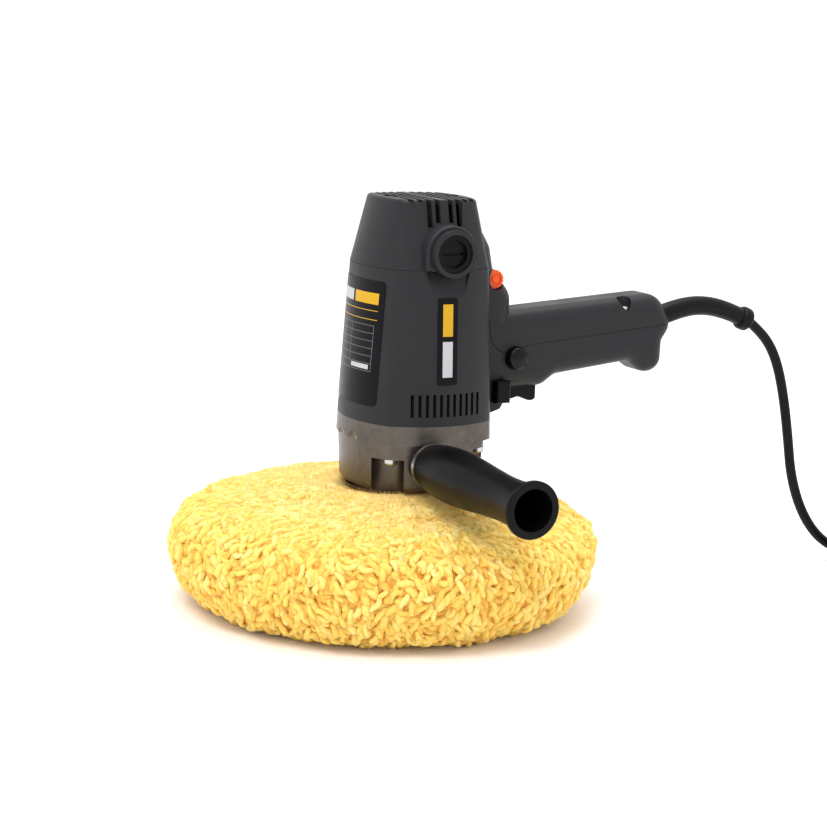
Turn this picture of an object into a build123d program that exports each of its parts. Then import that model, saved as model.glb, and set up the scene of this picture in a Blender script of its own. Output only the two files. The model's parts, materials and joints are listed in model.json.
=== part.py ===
from build123d import *
import math
import os

os.makedirs("parts", exist_ok=True)

# Rotary polisher, in millimetres. The origin is on the spindle axis, on the face of the wool that
# rests on the work. +Z is up, +X points to the rear handle and -Y to the side handle.

# Driving dimensions
wool_r = 125.0
wool_face_r = 83.0  # the flat middle that rests on the work
wool_neck_r = 26.0  # the pile's opening, round the bearing cover
wool_top = 72.4
pad_r = 90.0
pad_low = 30.0
centre_distance = 17.6  # spindle axis to motor axis
motor_x = centre_distance

casting_low = 73.0  # bottom of the gear housing
casting_high = 102.0  # gear housing meets the bearing bracket
body_low = 113.0  # bearing bracket meets the motor housing
cap_low = 202.5  # motor housing meets the top cap
cap_high = 242.0
half_low = 43.5  # half the body's width at body_low
half_cap = 38.3  # at cap_low
half_high = 28.5  # at cap_high
wall = 3.0
seam = 0.3  # the handle cover stands this far up and back from the motor housing
bulge_r = 60.0
corner_r = 10.0

brush_z = 212.6
bearing_gap = 0.02  # between a bearing ring and its seat
screw_offset = 28.5  # housing screws, from the motor axis along X and along Y
handle_half = 16.0

side_x = 7.2  # axis of the side handle
side_z = 90.7
side_face = 45.4  # how far its bosses stand out along Y

module = 0.8
pressure = math.radians(25)
pinion_teeth = 8
gear_teeth = 36
tooth_shift = 0.4  # profile shift, in modules: plus on the pinion, minus on the gear
backlash = 0.15
pinion_trim = 0.12

cord_r = 3.25


def save(part, name):
    """Labels a finished piece and writes it to its own file."""
    part.label = name
    export_step(part, f"parts/{name}.step")


def half_at(height):
    """Half the body's width across its faces at a height."""
    if height <= cap_low:
        return half_low + (half_cap - half_low) * (height - body_low) / (cap_low - body_low)
    return half_cap + (half_high - half_cap) * (height - cap_low) / (cap_high - cap_low)


def around(radius, degrees):
    """A point in a sketch, by its radius and angle."""
    return (radius * math.cos(math.radians(degrees)), radius * math.sin(math.radians(degrees)))


def body_section(height, half, x=motor_x):
    """One level of the body: four bulged faces with rounded corners."""
    back = bulge_r - half
    tip = (math.sqrt(2 * bulge_r**2 - back**2) - back) / math.sqrt(2)
    with BuildSketch(Plane((x, 0, height))) as level:
        with BuildLine():
            for turn in range(4):
                start = 45 + 90 * turn
                ThreePointArc(around(tip, start), around(half, start + 45), around(tip, start + 90))
        make_face()
        fillet(level.vertices(), corner_r)
    return level.sketch


def body_form(low, high, grow=0.0):
    """The body between two heights, on its taper, with its faces moved out by grow."""
    with BuildPart() as form:
        loft([body_section(low, half_at(low) + grow), body_section(high, half_at(high) + grow)], ruled=True)
    return form.part


def disc(x, low, high, radius, hole=0.0, y=0.0):
    """A round post or ring on a vertical axis at x, y."""
    with BuildPart() as form:
        with BuildSketch(Plane((x, y, low))):
            Circle(radius)
            if hole:
                Circle(hole, mode=Mode.SUBTRACT)
        extrude(amount=high - low)
    return form.part


def block(low, high):
    """A box between two opposite corners."""
    size = [abs(b - a) for a, b in zip(low, high)]
    centre = [(a + b) / 2 for a, b in zip(low, high)]
    with BuildPart() as form:
        with Locations(tuple(centre)):
            Box(*size)
    return form.part


def sector(x, low, high, inner, outer, start, end):
    """Part of a ring about the vertical axis at x, between two angles."""
    with BuildPart() as form:
        with BuildSketch(Plane((x, 0, low))):
            with BuildLine():
                CenterArc((0, 0), outer, start, end - start)
                Line(around(outer, end), around(inner, end))
                CenterArc((0, 0), inner, end, start - end)
                Line(around(inner, start), around(outer, start))
            make_face()
        extrude(amount=high - low)
    return form.part


def turned(x, outline):
    """A solid turned about the vertical axis at x from (radius, height) corners."""
    with BuildPart() as form:
        with BuildSketch(Plane((x, 0, 0), x_dir=(1, 0, 0), z_dir=(0, -1, 0))):
            with BuildLine():
                Polyline(*outline, close=True)
            make_face()
        revolve(axis=Axis((x, 0, 0), (0, 0, 1)))
    return form.part


def gear_outline(plane, teeth, shift, first, trim=0.0):
    """An involute gear as a sketch, with one tooth centred at the angle first and its tips trimmed."""
    pitch_r = module * teeth / 2
    base_r = pitch_r * math.cos(pressure)
    tip_r = pitch_r + module * (1 + shift) - trim
    root_r = pitch_r - module * (1.25 - shift)
    thick = module * (math.pi / 2 + 2 * shift * math.tan(pressure)) - backlash / 2

    def half_angle(radius):
        lean = math.acos(min(1.0, base_r / radius))
        inv = math.tan(lean) - lean
        return math.degrees(thick / (2 * pitch_r) + math.tan(pressure) - pressure - inv)

    low_r = max(base_r, root_r)
    radii = [low_r + (tip_r - low_r) * step / 4 for step in range(5)]
    step = 360 / teeth
    with BuildSketch(plane) as outline:
        with BuildLine():
            for tooth in range(teeth):
                mid = first + tooth * step
                foot = half_angle(low_r)
                tip = half_angle(tip_r)
                if root_r < low_r - 0.01:
                    Line(around(root_r, mid - foot), around(low_r, mid - foot))
                Spline(*[around(r, mid - half_angle(r)) for r in radii])
                CenterArc((0, 0), tip_r, mid - tip, 2 * tip)
                Spline(*[around(r, mid + half_angle(r)) for r in reversed(radii)])
                if root_r < low_r - 0.01:
                    Line(around(low_r, mid + foot), around(root_r, mid + foot))
                CenterArc((0, 0), root_r, mid + foot, step - 2 * foot)
        make_face()
    return outline.sketch


def bearing(name, x, low, width, bore_r, outer_r, ball_r, balls):
    """A deep-groove ball bearing: outer ring, inner ring and balls."""
    middle = (bore_r + outer_r) / 2
    centre = low + width / 2
    with BuildPart() as outer_ring:
        add(disc(x, low, low + width, outer_r, middle + 0.55 * ball_r))
        with Locations((x, 0, centre)):
            Torus(middle, ball_r + 0.05, mode=Mode.SUBTRACT)
    save(outer_ring.part, f"{name}_outer_ring")
    with BuildPart() as inner_ring:
        add(disc(x, low, low + width, middle - 0.55 * ball_r, bore_r))
        with Locations((x, 0, centre)):
            Torus(middle, ball_r + 0.05, mode=Mode.SUBTRACT)
    save(inner_ring.part, f"{name}_inner_ring")
    with BuildPart() as ball_set:
        with Locations((x, 0, centre)):
            with PolarLocations(middle, balls):
                Sphere(ball_r)
    save(ball_set.part, f"{name}_balls")


def screw(place, length, shank_r, head_r, head_h, flip=False):
    """A pan-head screw with its head's seat at place, pointing up, or down when flipped."""
    with BuildPart() as form:
        Cylinder(shank_r, length, align=(Align.CENTER, Align.CENTER, Align.MIN))
        with Locations((0, 0, -head_h)):
            Cylinder(head_r, head_h, align=(Align.CENTER, Align.CENTER, Align.MIN))
        fillet(form.edges().group_by(Axis.Z)[0], head_h * 0.4)
        with Locations((0, 0, -head_h + 0.6)):
            Box(head_r * 1.2, 0.8, 1.4, mode=Mode.SUBTRACT)
            Box(0.8, head_r * 1.2, 1.4, mode=Mode.SUBTRACT)
    turn = Rot(180, 0, 0) if flip else Rot(0, 0, 0)
    return Pos(*place) * turn * form.part


# ---------------------------------------------------------------- wool bonnet and backing pad
pad_rim = 36.0
pad_top = 47.5
hub_r = 26.0
hub_low = 34.0
hub_top = 58.0

with BuildPart() as wool_bonnet:
    with BuildSketch(Plane.XZ):
        with BuildLine():
            Line((0, 0), (wool_face_r, 0))
            Bezier((wool_face_r, 0), (111, 0), (wool_r, 14.5), (wool_r, 39))
            Bezier((wool_r, 39), (wool_r, 56), (100, 68.5), (wool_neck_r, wool_top))
            Polyline(
                (wool_neck_r, wool_top), (wool_neck_r, pad_top + 0.6), (34, pad_top + 0.6), (60, 44.6),
                (pad_r + 0.3, pad_rim + 0.4), (pad_r + 0.3, pad_low - 0.3), (0, pad_low - 0.3), (0, 0),
            )
        make_face()
    revolve(axis=Axis.Z)
save(wool_bonnet.part, "wool_bonnet")

with BuildPart() as backing_pad:
    add(turned(0, [
        (hub_r + 0.2, pad_low), (pad_r - 4, pad_low), (pad_r, pad_low + 3), (pad_r, pad_rim),
        (60, 44), (34, pad_top), (16.5, pad_top), (16.5, hub_low + 4), (hub_r + 0.2, hub_low + 4),
    ]))
save(backing_pad.part, "backing_pad")

with BuildPart() as pad_hub:
    with BuildSketch(Plane.XY.offset(hub_low)):
        Circle(hub_r)
    extrude(amount=4)
    with BuildSketch(Plane.XY.offset(hub_low + 4)):
        RegularPolygon(13.5, 6, major_radius=False)
    extrude(amount=hub_top - hub_low - 4)
    with Locations((0, 0, hub_top)):
        Hole(7.05)
save(pad_hub.part, "pad_hub")

# ---------------------------------------------------------------- spindle and gear train
bearing_low = 76.0  # spindle bearing, 15 x 35 x 11
bearing_wide = 11.0
gear_low = 90.0
gear_wide = 8.0
bush_low = 98.8
bush_high = 104.2
rotor_low = 105.4  # lower armature bearing, 10 x 26 x 8
rotor_high = 224.0  # upper armature bearing, 7 x 19 x 6

with BuildPart() as output_spindle:
    add(turned(0, [
        (0, 40), (6.4, 40), (7, 41), (7, 58.3), (11.5, 58.3), (11.5, 65), (8, 65), (8, 75), (9, 75),
        (9, bearing_low), (7.5, bearing_low), (7.5, 87), (6, 87), (6, 98.2), (5, 98.2), (5, 104), (0, 104),
    ]))
    add(block((4.5, -1.52, gear_low), (8, 1.52, 98)), mode=Mode.SUBTRACT)
    for side in (-1, 1):
        add(block((-12, side * 8.5, 59), (12, side * 13, 64.5)), mode=Mode.SUBTRACT)
save(output_spindle.part, "output_spindle")

with BuildPart() as gear_key:
    add(block((4.52, -1.5, gear_low + 0.02), (7.3, 1.5, 97.9)))
save(gear_key.part, "gear_key")

with BuildPart() as spindle_gear:
    teeth = gear_outline(Plane.XY.offset(gear_low), gear_teeth, -tooth_shift, 180 / gear_teeth)
    extrude(teeth, amount=gear_wide)
    add(disc(0, 87.05, gear_low, 9))
    with Locations((0, 0, 98)):
        Hole(6.02)
    with PolarLocations(0.0, 6):
        with Locations((9.4, 0, gear_low)):
            Cylinder(1.3, 30, mode=Mode.SUBTRACT)
    add(block((4, -1.52, 87), (7.35, 1.52, 99)), mode=Mode.SUBTRACT)
save(spindle_gear.part, "spindle_gear")

bearing("spindle_bearing", 0, bearing_low, bearing_wide, 7.52, 17.5, 3.0, 8)

with BuildPart() as spindle_bush:
    add(disc(0, bush_low, bush_high, 7.0, 5.04))
save(spindle_bush.part, "spindle_bush")

with BuildPart() as spindle_seal:
    add(disc(0, 71.2, 74.6, 11.9, 8.06))
save(spindle_seal.part, "spindle_seal")

cover_screw_ring = 20.2

with BuildPart() as bearing_cover:
    add(turned(0, [
        (9.6, 69.5), (22, 69.5), (23.2, 70.7), (23.2, 72.95), (17.4, 72.95), (17.4, 75.95), (14.5, 75.95),
        (14.5, 74.7), (11.95, 74.7), (11.95, 71.1), (9.6, 71.1),
    ]))
    with PolarLocations(cover_screw_ring, 4, start_angle=45):
        with Locations((0, 0, 69.5)):
            Cylinder(1.35, 20, mode=Mode.SUBTRACT)
            Cone(2.5, 1.35, 1.3, align=(Align.CENTER, Align.CENTER, Align.MIN), mode=Mode.SUBTRACT)
save(bearing_cover.part, "bearing_cover")

with BuildPart() as bearing_cover_screws:
    with PolarLocations(cover_screw_ring, 4, start_angle=45):
        with Locations((0, 0, 69.5)):
            Cone(2.4, 1.25, 1.3, align=(Align.CENTER, Align.CENTER, Align.MIN))
            Cylinder(1.25, 12, align=(Align.CENTER, Align.CENTER, Align.MIN))
save(bearing_cover_screws.part, "bearing_cover_screws")

# ---------------------------------------------------------------- gear housing and bracket
housing_shift = 1.4  # the gear housing stands this much further forward than the body above
front_lug = 93.0  # the screw lugs' undersides
rear_lug = 97.0
pocket_offset = 30.0
pocket_r = 10.0
corners = [(-1, -1, front_lug), (-1, 1, front_lug), (1, -1, rear_lug), (1, 1, rear_lug)]
scoop_r = 14.0
scoop_deep = 1.4
scoop_y = 9.0
scoop_z = 100.5

with BuildPart() as gear_housing:
    loft([
        body_section(casting_low, 39.8, motor_x - housing_shift),
        body_section(casting_high, 41.3, motor_x - housing_shift),
    ], ruled=True)
    fillet(gear_housing.edges().group_by(Axis.Z)[0], 4.0)
    for side in (-1, 1):
        with BuildSketch(Plane((side_x, side * 34, side_z), z_dir=(0, side, 0))):
            Circle(11.2)
        extrude(amount=side_face - 34)
    # Screw pockets, open downwards and outwards at the four corners
    for along, across, lug in corners:
        pocket_x = motor_x - housing_shift + along * pocket_offset
        add(disc(pocket_x, casting_low - 1, lug, pocket_r, y=across * pocket_offset), mode=Mode.SUBTRACT)
        screw_x = motor_x + along * screw_offset
        add(disc(screw_x, 80, 103, 2.3, y=across * screw_offset), mode=Mode.SUBTRACT)
    # Gear space, bearing seat and its lip
    add(disc(3.5, 89, 103, 20), mode=Mode.SUBTRACT)
    add(disc(0, 72, 87, 17.5 + bearing_gap), mode=Mode.SUBTRACT)
    add(disc(0, 86, 90, 14), mode=Mode.SUBTRACT)
    # Threaded holes for the side handle, and for the bearing cover's screws
    for side in (-1, 1):
        with BuildSketch(Plane((side_x, side * 30.4, side_z), z_dir=(0, side, 0))):
            Circle(4.0)
        extrude(amount=20, mode=Mode.SUBTRACT)
    with PolarLocations(cover_screw_ring, 4, start_angle=45):
        with Locations((0, 0, 77)):
            Cylinder(1.27, 14, mode=Mode.SUBTRACT)
save(gear_housing.part, "gear_housing")

with BuildPart() as bearing_bracket:
    loft([body_section(casting_high, half_low + 0.5), body_section(body_low, half_low)], ruled=True)
    add(disc(0, 98.6, casting_high, 9.5))
    add(disc(0, 98, bush_high + 0.2, 7.0 + bearing_gap), mode=Mode.SUBTRACT)
    add(disc(motor_x, 101, 106, 5.6), mode=Mode.SUBTRACT)
    add(disc(motor_x, rotor_low, 114, 13 + bearing_gap), mode=Mode.SUBTRACT)
    for along, across, lug in corners:
        screw_x = motor_x + along * screw_offset
        add(disc(screw_x, 100, 114, 2.2, y=across * screw_offset), mode=Mode.SUBTRACT)
    # Two shallow dished air scoops in the front face
    scoop_x = motor_x - half_low - scoop_r + scoop_deep
    with Locations((scoop_x, -scoop_y, scoop_z), (scoop_x, scoop_y, scoop_z)):
        Sphere(scoop_r, mode=Mode.SUBTRACT)
save(bearing_bracket.part, "bearing_bracket")

with BuildPart() as housing_screws:
    for along, across, lug in corners:
        add(screw((motor_x + along * screw_offset, across * screw_offset, lug), 126 - lug, 2.0, 4.0, 3.6))
save(housing_screws.part, "housing_screws")

# ---------------------------------------------------------------- side handle
grip_start = 48.0
grip_end = 160.4
grip_bore = 11.7
stud_r = 3.95

with BuildPart() as side_handle_collar:
    with BuildSketch(Plane((side_x, -side_face, side_z), z_dir=(0, -1, 0))):
        Circle(13.4)
        Circle(4.1, mode=Mode.SUBTRACT)
    extrude(amount=grip_start - side_face - 0.05)
    chamfer(side_handle_collar.edges().filter_by(GeomType.CIRCLE).group_by(Axis.Y)[0][-1], 0.6)
save(side_handle_collar.part, "side_handle_collar")

with BuildPart() as side_handle_grip:
    with BuildSketch(Plane.YZ.offset(side_x)):
        with BuildLine():
            Spline(
                (-grip_start, side_z + 13.2), (-52, side_z + 14.0), (-100, side_z + 14.6),
                (-157, side_z + 14.2),
            )
            Polyline(
                (-157, side_z + 14.2), (-157.4, side_z + 16), (-grip_end, side_z + 16),
                (-grip_end, side_z + grip_bore), (-70, side_z + grip_bore),
                (-70, side_z + stud_r + 0.05), (-grip_start, side_z + stud_r + 0.05),
                (-grip_start, side_z + 13.2),
            )
        make_face()
    revolve(axis=Axis((side_x, 0, side_z), (0, 1, 0)))
    fillet(side_handle_grip.edges().filter_by(GeomType.CIRCLE).sort_by(SortBy.RADIUS)[-2:], 0.8)
save(side_handle_grip.part, "side_handle_grip")

with BuildPart() as side_handle_stud:
    with BuildSketch(Plane((side_x, -31.5, side_z), z_dir=(0, -1, 0))):
        Circle(stud_r)
    extrude(amount=69.5 - 31.5)
    chamfer(side_handle_stud.edges(), 0.5)
save(side_handle_stud.part, "side_handle_stud")

# ---------------------------------------------------------------- motor
core_r = 22.0
core_low = 140.0
core_high = 176.0
fan_low = 116.5
fan_high = 131.0
fan_r = 33.0
commutator_r = 13.0

with BuildPart() as armature_shaft:
    extrude(gear_outline(Plane((motor_x, 0, 89.6)), pinion_teeth, tooth_shift, 180, pinion_trim), amount=9.6)
    add(turned(motor_x, [
        (0, 98), (2.4, 98), (4.3, 99.6), (4.3, rotor_low), (4.98, rotor_low), (4.98, 113.4), (6.5, 113.4),
        (6.5, 116.4), (5, 116.4), (5, 221), (4.6, 221), (4.6, rotor_high), (3.48, rotor_high), (3.48, 230.5),
        (0, 230.5),
    ]))
save(armature_shaft.part, "armature_shaft")

slot_count = 12
with BuildPart() as armature_core:
    with BuildSketch(Plane((motor_x, 0, core_low))):
        Circle(core_r)
        Circle(5.02, mode=Mode.SUBTRACT)
        with PolarLocations(15.5, slot_count):
            Rectangle(9.2, 3.2, mode=Mode.SUBTRACT)
        with PolarLocations(21.5, slot_count):
            Rectangle(4, 1.2, mode=Mode.SUBTRACT)
    extrude(amount=core_high - core_low)
save(armature_core.part, "armature_core")

with BuildPart() as armature_windings:
    with BuildSketch(Plane((motor_x, 0, core_low - 1))):
        with PolarLocations(15.5, slot_count):
            Rectangle(9.1, 3.1)
    extrude(amount=core_high - core_low + 2)
    for low, high in ((134.6, core_low - 0.05), (core_high + 0.05, 186)):
        add(disc(motor_x, low, high, 19.6, 7.5))
    fillet(armature_windings.edges().filter_by(GeomType.CIRCLE).group_by(Axis.Z)[0], 1.5)
    fillet(armature_windings.edges().filter_by(GeomType.CIRCLE).group_by(Axis.Z)[-1], 1.5)
save(armature_windings.part, "armature_windings")

with BuildPart() as commutator:
    add(disc(motor_x, 203.6, 221, commutator_r, 5.02))
    add(disc(motor_x, 201, 203.6, 14.8, 5.02))
    with BuildSketch(Plane((motor_x, 0, 200))):
        with PolarLocations(14.2, 24):
            Rectangle(4.4, 0.5)
    extrude(amount=22, mode=Mode.SUBTRACT)
save(commutator.part, "commutator")

with BuildPart() as cooling_fan:
    add(disc(motor_x, fan_low, fan_high, 8.5, 5.02))
    add(disc(motor_x, fan_high - 2, fan_high, fan_r, 5.02))
    with BuildSketch(Plane((motor_x, 0, fan_low + 1.5))):
        with PolarLocations(20.4, 13):
            Rectangle(25.0, 1.4, rotation=14)
    extrude(amount=fan_high - fan_low - 2)
    add(disc(motor_x, fan_low, fan_high, fan_r), mode=Mode.INTERSECT)
    add(disc(motor_x, fan_low - 1, fan_high + 1, 5.02), mode=Mode.SUBTRACT)
save(cooling_fan.part, "cooling_fan")

bearing("rotor_bearing_lower", motor_x, rotor_low, 8, 5.0, 13, 2.4, 8)
bearing("rotor_bearing_upper", motor_x, rotor_high, 6, 3.5, 9.5, 1.7, 7)

stator_low = 138.0
stator_high = 178.0
with BuildPart() as stator_core:
    with BuildSketch(Plane((motor_x, 0, stator_low))):
        Circle(34.5)
        Rectangle(69, 58, mode=Mode.INTERSECT)
        Circle(22.4, mode=Mode.SUBTRACT)
    extrude(amount=stator_high - stator_low)
    for middle in (90, 270):
        for start in (middle - 36, middle + 18):
            add(
                sector(motor_x, stator_low - 1, stator_high + 1, 22, 28.2, start - 0.3, start + 18.3),
                mode=Mode.SUBTRACT,
            )
save(stator_core.part, "stator_core")

with BuildPart() as stator_windings:
    for pole in (0, 180):
        for low, high in ((134.6, stator_low), (stator_high, 183)):
            add(sector(motor_x, low, high, 22.9, 28, pole - 72, pole + 72))
        for start in (pole - 72, pole + 54):
            add(sector(motor_x, stator_low, stator_high, 22.9, 28, start, start + 18))
save(stator_windings.part, "stator_windings")

with BuildPart() as fan_baffle:
    extrude(body_section(132.2, half_at(132.2) - wall - 0.3), amount=1.8)
    add(disc(motor_x, 131, 135, 24), mode=Mode.SUBTRACT)
save(fan_baffle.part, "fan_baffle")

# ---------------------------------------------------------------- rear block and handle
# One outline in the XZ plane holds the rear spine and the handle. It is parted into the handle
# cover above and the motor housing's own half below.
part_left = (70.3, 149.4)
part_mid = (87.5, 153.8)
part_right = (204.0, 164.8)
# Corners of the two outlines, each with the radius of its round
handle_corners = [
    ((98.6, 127.4), 11.0), ((108.0, 133.9), 10.0), ((161.0, 140.2), 10.0), ((171.5, 132.6), 9.6),
    ((184.6, 132.6), 9.6), ((184.9, 152.0), 3.0), ((191.4, 162.0), 10.0), ((180.2, 182.1), 14.0),
]
handle_round = 9.5  # along the handle's edges
spine_corners = [((75.8, 184.4), 12.6), ((63.0, 200.4), 3.0), ((60.4, 213.0), 12.6), ((53.6, 224.2), 12.6)]
spine_round = 12.0
guard_root = (180.0, 0, 163.3)
guard_lean = 17.0  # degrees that the cord guard rises as it leaves the handle
guard_aim = (math.cos(math.radians(guard_lean)), 0, math.sin(math.radians(guard_lean)))
lock_at = (76.8, 146.3)  # lock button's axis in X and Z
lock_r = 6.8
trigger_low = 118.0
trigger_high = 134.0
slide_x = (61.4, 70.9)
slide_z = (120.3, 133.5)
dial_at = (63.2, 193.2)  # dial's axis in X and Z
dial_r = 5.6
dial_shaft_r = 2.0
dial_knurls = 18
dial_y = (-11.5, -2.5)  # its two faces: the dial shows at the near shoulder of the spine
dial_end = 10.0  # far end of its shaft
handle_screw_at = [(154.5, -11.3, 172.0), (117.0, 11.3, 169.3)]  # seats of the screw heads
screw_pocket_r = 4.5
cap_screw_offset = 20.5
ceiling = 196.0  # underside of the motor housing's top wall
switch_low = 141.0


def handle_form():
    """The whole handle, solid: its side outline with round corners, all its edges rounded."""
    with BuildPart() as form:
        with BuildSketch(Plane.XZ) as side:
            with BuildLine():
                Polyline((62, 127.4), *[point for point, radius in handle_corners], (62, 173.1), close=True)
            make_face()
            for point, radius in handle_corners:
                fillet(side.vertices().sort_by_distance((*point, 0))[0], radius)
        extrude(amount=handle_half, both=True)
        rim = form.edges().filter_by(lambda e: abs(abs(e.center().Y) - handle_half) < 0.01)
        fillet([e for e in rim if e.center().X > 62.1], handle_round)
    return form.part


def spine_form():
    """The rear spine over the motor housing, from the web at the bottom to the cap, solid."""
    with BuildPart() as form:
        with BuildSketch(Plane.XZ) as side:
            with BuildLine():
                Polyline((44, body_low), (58.0, body_low), (68.0, 115.9), (73.3, 121.8), (75.8, 140))
                Polyline(
                    (75.8, 140), *[point for point, radius in spine_corners], (44, 227.2), (44, body_low),
                )
            make_face()
            for point, radius in spine_corners:
                fillet(side.vertices().sort_by_distance((*point, 0))[0], radius)
        extrude(amount=handle_half, both=True)
        outer = form.edges().filter_by(lambda e: abs(abs(e.center().Y) - handle_half) < 0.01)
        fillet([e for e in outer if e.center().X > 44.5 and e.center().Z > 160], spine_round)
    return form.part


def cover_region():
    """The space that the handle cover takes, seen from the side."""
    with BuildPart() as form:
        with BuildSketch(Plane.XZ):
            with BuildLine():
                Polyline((30, 201.5), (52.4, 201.5), (55.4, 181.8), (58.7, 161.2))
                Spline(
                    (58.7, 161.2), (60.6, 155.6), (64.4, 151.6), part_left,
                    tangents=((0.16, -1), (1, -0.1)),
                )
                Polyline(part_left, part_mid, part_right, (204, 240), (30, 240), (30, 201.5))
            make_face()
        extrude(amount=40, both=True)
    return form.part



def handle_cavity():
    """The room inside the handle and spine for the switch, the wiring and the speed control."""
    with BuildPart() as form:
        with BuildSketch(Plane.XZ):
            with BuildLine():
                Polyline(
                    (62.5, 157), (76, 157), (76, 131.2), (96.5, 131.2), (107, 138.6), (160, 144.8),
                    (178, 146.5), (181.2, 152), (181.2, 171.5), (175.5, 175), (84, 169), (71.5, 169),
                    (71.5, 182), (64.5, 193), (62.5, 193), close=True,
                )
            make_face()
        extrude(amount=11.3, both=True)
        for x, y, seat in handle_screw_at:
            add(disc(x, 120, 185, 4.4, y=y), mode=Mode.SUBTRACT)
    return form.part


def guard_hole(radius, length=30):
    """A round hole along the cord guard, outwards from its root or, when negative, inwards."""
    with BuildPart() as form:
        with BuildSketch(Plane(guard_root, x_dir=(0, 1, 0), z_dir=guard_aim)):
            Circle(radius)
        extrude(amount=length)
    return form.part


def side_round(x, z, radius, start, end):
    """A cylinder along Y between two distances from the middle plane."""
    with BuildPart() as form:
        with BuildSketch(Plane((x, start, z), x_dir=(1, 0, 0), z_dir=(0, 1 if end > start else -1, 0))):
            Circle(radius)
        extrude(amount=abs(end - start))
    return form.part


rear_solid = handle_form() + spine_form()
housing_side = cover_region()
cover_side = Pos(seam, 0, seam) * housing_side
cavity = handle_cavity()
guard_start_r = 6.6
guard_end_r = 5.6
guard_flange_r = 8.8
guard_flange_deep = 3.0
handle_bore = guard_hole(7.1) + guard_hole(guard_flange_r + 0.3, -guard_flange_deep - 0.3)
lock_hole = side_round(*lock_at, lock_r + 0.3, -20, -9)
dial_space = side_round(*dial_at, dial_r + 0.5, -20, dial_y[1] + 0.4)

with BuildPart() as brush_recess:
    # Room under each brush boss: the boss's own round, and a ramp that fades out below it
    for side in (-1, 1):
        add(side_round(motor_x, brush_z, 14.1, side * 33.5, side * 50))
        with BuildSketch(Plane.XY.offset(cap_low + 0.5)):
            with Locations((motor_x, side * 42.4)):
                Rectangle(29, 16.5)
        with BuildSketch(Plane.XY.offset(185)):
            with Locations((motor_x, side * 47.4)):
                Rectangle(19, 16)
        loft(ruled=True)

with BuildPart() as motor_housing:
    add(body_form(body_low, cap_low))
    add(rear_solid - housing_side)
    add(body_form(body_low - 1, ceiling, -wall), mode=Mode.SUBTRACT)
    for along, across, lug in corners:
        add(disc(motor_x + along * screw_offset, body_low, 128, 4.8, y=across * screw_offset))
    add(body_form(body_low, cap_low) + rear_solid, mode=Mode.INTERSECT)
    for along, across, lug in corners:
        hole_x = motor_x + along * screw_offset
        add(disc(hole_x, body_low - 1, 127, 2.02, y=across * screw_offset), mode=Mode.SUBTRACT)
    add(disc(motor_x, ceiling - 1, 204, 16.5), mode=Mode.SUBTRACT)
    for side in (-1, 1):
        add(disc(motor_x + side * cap_screw_offset, ceiling - 1, 204, 1.7), mode=Mode.SUBTRACT)
        for slot in range(11):
            slot_x = motor_x + 0.2 + (slot - 5) * 4.25
            low = (slot_x - 0.95, side * 30, 118.5)
            add(block(low, (slot_x + 0.95, side * 50, 131.5)), mode=Mode.SUBTRACT)
    add(brush_recess.part, mode=Mode.SUBTRACT)
    add(cavity, mode=Mode.SUBTRACT)
    add(handle_bore, mode=Mode.SUBTRACT)
    add(lock_hole, mode=Mode.SUBTRACT)
    for x, y, seat in handle_screw_at:
        add(disc(x, 142, 170, 1.7, y=y), mode=Mode.SUBTRACT)
    # Openings for the trigger and for the lock-off slide's stem
    add(block((77.6, -7.4, 120), (97.4, 7.4, 135)), mode=Mode.SUBTRACT)
    add(block((63.9, -17, 122.3), (68.3, -10, 133.9)), mode=Mode.SUBTRACT)
save(motor_housing.part, "motor_housing")

with BuildPart() as handle_cover:
    add(rear_solid & cover_side)
    add(body_form(body_low, cap_low, 0.25), mode=Mode.SUBTRACT)
    add(body_form(cap_low, cap_high, 0.25), mode=Mode.SUBTRACT)
    add(cavity, mode=Mode.SUBTRACT)
    add(handle_bore, mode=Mode.SUBTRACT)
    add(lock_hole, mode=Mode.SUBTRACT)
    add(dial_space, mode=Mode.SUBTRACT)
    add(side_round(*dial_at, dial_shaft_r + 0.1, dial_y[0], dial_end + 0.3), mode=Mode.SUBTRACT)
    for x, y, seat in handle_screw_at:
        add(disc(x, 150, 190, 1.9, y=y), mode=Mode.SUBTRACT)
        add(disc(x, seat, 190, screw_pocket_r, y=y), mode=Mode.SUBTRACT)
save(handle_cover.part, "handle_cover")

with BuildPart() as handle_screws:
    for place in handle_screw_at:
        add(screw(place, 24, 1.65, 3.4, 2.6, flip=True))
save(handle_screws.part, "handle_screws")

# ---------------------------------------------------------------- top cap and brush gear
vent_offsets = (-9.3, -4.2, 4.2, 9.3)
rib_offsets = (-19.5, -14.4, *vent_offsets, 14.4, 19.5)
boss_r = 13.6
boss_out = 45.0
hood_r = 16.0
hood_out = 41.0

with BuildPart() as panel_cut:
    # What is taken off the cap's side faces to sink a panel 1 mm deep above each brush
    with BuildSketch(Plane.XZ):
        with BuildLine():
            Polyline(
                (motor_x - 8.5, 204), (motor_x - 14.2, 246), (motor_x + 12.6, 246), (motor_x + 8.5, 204),
                close=True,
            )
        make_face()
    extrude(amount=50, both=True)
    add(body_form(cap_low, cap_high + 6, -1.0), mode=Mode.SUBTRACT)

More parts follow.
